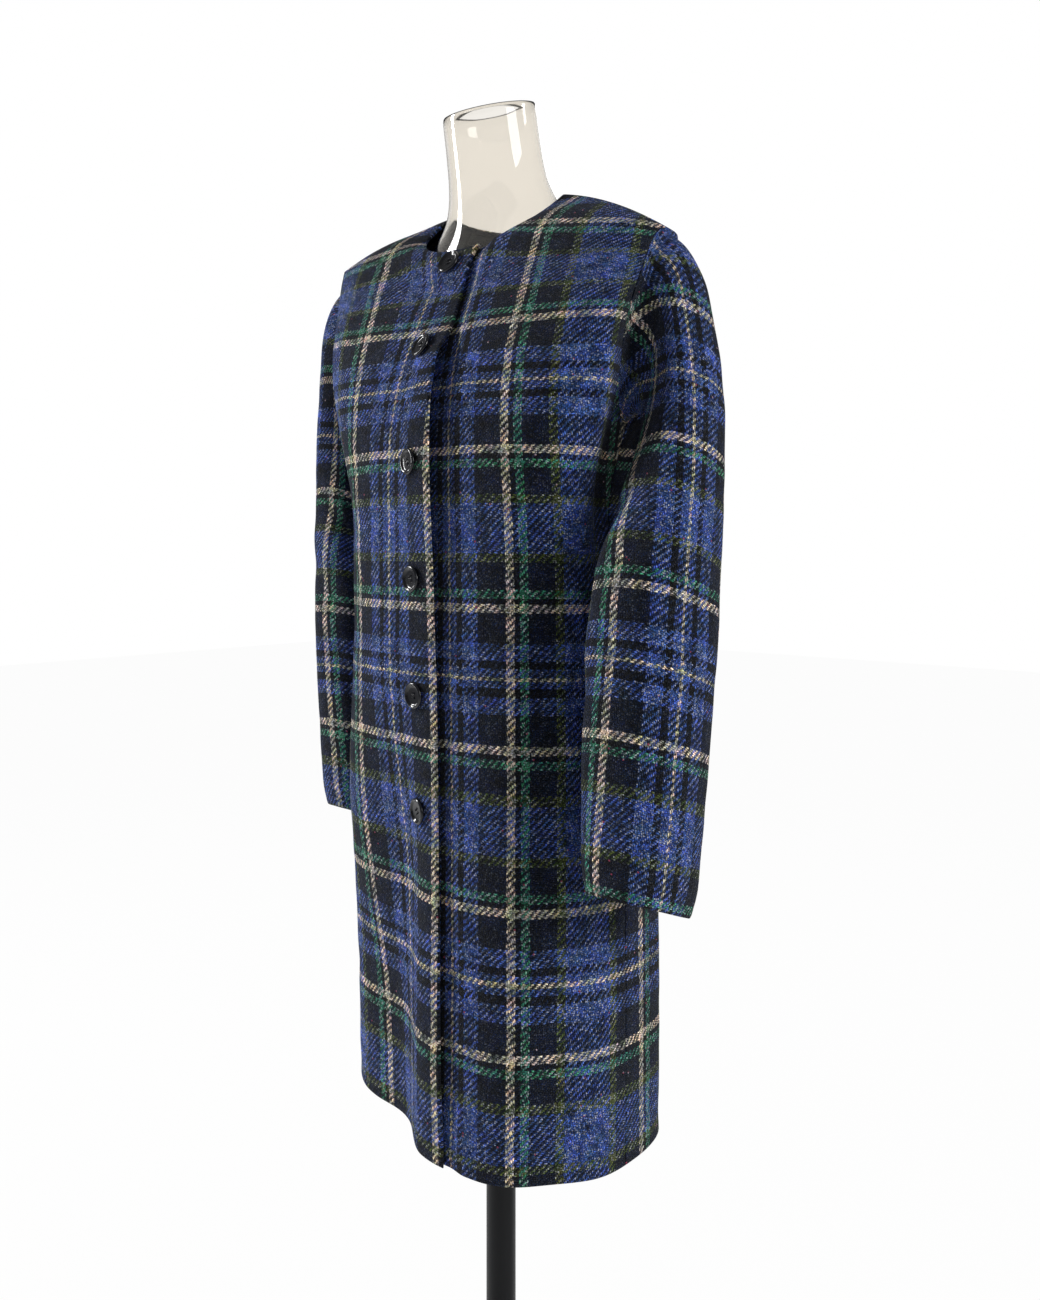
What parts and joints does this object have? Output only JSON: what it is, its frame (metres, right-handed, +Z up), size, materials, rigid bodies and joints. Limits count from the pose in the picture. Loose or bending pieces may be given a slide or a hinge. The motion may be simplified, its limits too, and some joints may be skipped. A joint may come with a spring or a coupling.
{
  "type": "single-breasted coat on a dress form",
  "caption": "Collarless knee-length plaid wool coat, single-breasted with six buttons and long set-in sleeves, hanging on a limbless clear dress form on a pole stand.",
  "frame": {"origin": "centre of the stand's base, on the floor", "axes": "+Z up, -Y the way the coat's front faces, +X towards the wearer's left"},
  "size_m": [0.583, 0.33, 1.5238],
  "materials": {
    "tweed": "plaid wool tweed, thick and slightly hairy",
    "facing_cloth": "plain dark twill",
    "button_resin": "polished dark resin",
    "clear_acrylic": "clear, moulded",
    "stand_metal": "black satin"
  },
  "bodies": {
    "root": {"left_front": "tweed", "right_front": "tweed", "back": "tweed", "left_sleeve": "tweed", "right_sleeve": "tweed", "back_neck_facing": "facing_cloth", "button_1": "button_resin", "button_2": "button_resin", "button_3": "button_resin", "button_4": "button_resin", "button_5": "button_resin", "button_6": "button_resin", "dress_form": "clear_acrylic", "form_plate": "stand_metal", "stand_pole": "stand_metal", "stand_base": "stand_metal"}
  },
  "joints": []
}
